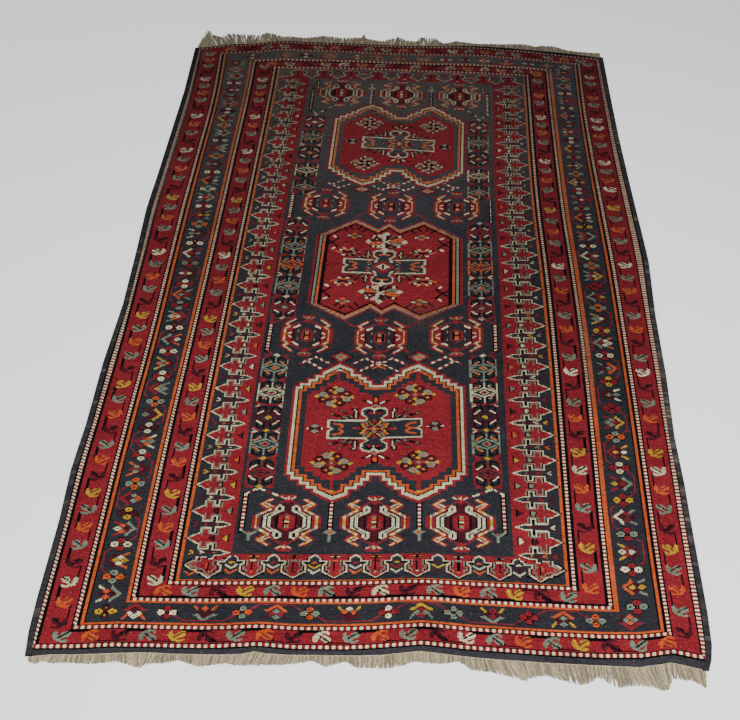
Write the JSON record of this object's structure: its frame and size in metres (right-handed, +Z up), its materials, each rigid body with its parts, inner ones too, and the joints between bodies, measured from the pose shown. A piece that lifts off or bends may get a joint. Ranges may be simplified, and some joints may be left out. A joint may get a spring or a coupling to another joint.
{
  "type": "fringed pile rug",
  "caption": "Long rectangular knotted-pile rug with a wide multi-stripe border, three medallions, overcast side edges and fringed ends, lying flat.",
  "frame": {"origin": "middle of the underside, on the floor", "axes": "+X across the rug, +Y along the rug to its far end, +Z up out of the pile"},
  "size_m": [1.363, 2.1774, 0.0132],
  "materials": {
    "wool_pile": "short worn wool pile, hand knotted, red and navy with cream, orange, green and yellow",
    "selvedge_wool": "overcast dark grey-navy wool yarn, worn",
    "fringe_yarn": "undyed twisted warp yarn, beige"
  },
  "bodies": {
    "root": {"rug_body": "wool_pile", "selvedge_left": "selvedge_wool", "selvedge_right": "selvedge_wool", "fringe_near": "fringe_yarn", "fringe_far": "fringe_yarn"}
  },
  "joints": []
}
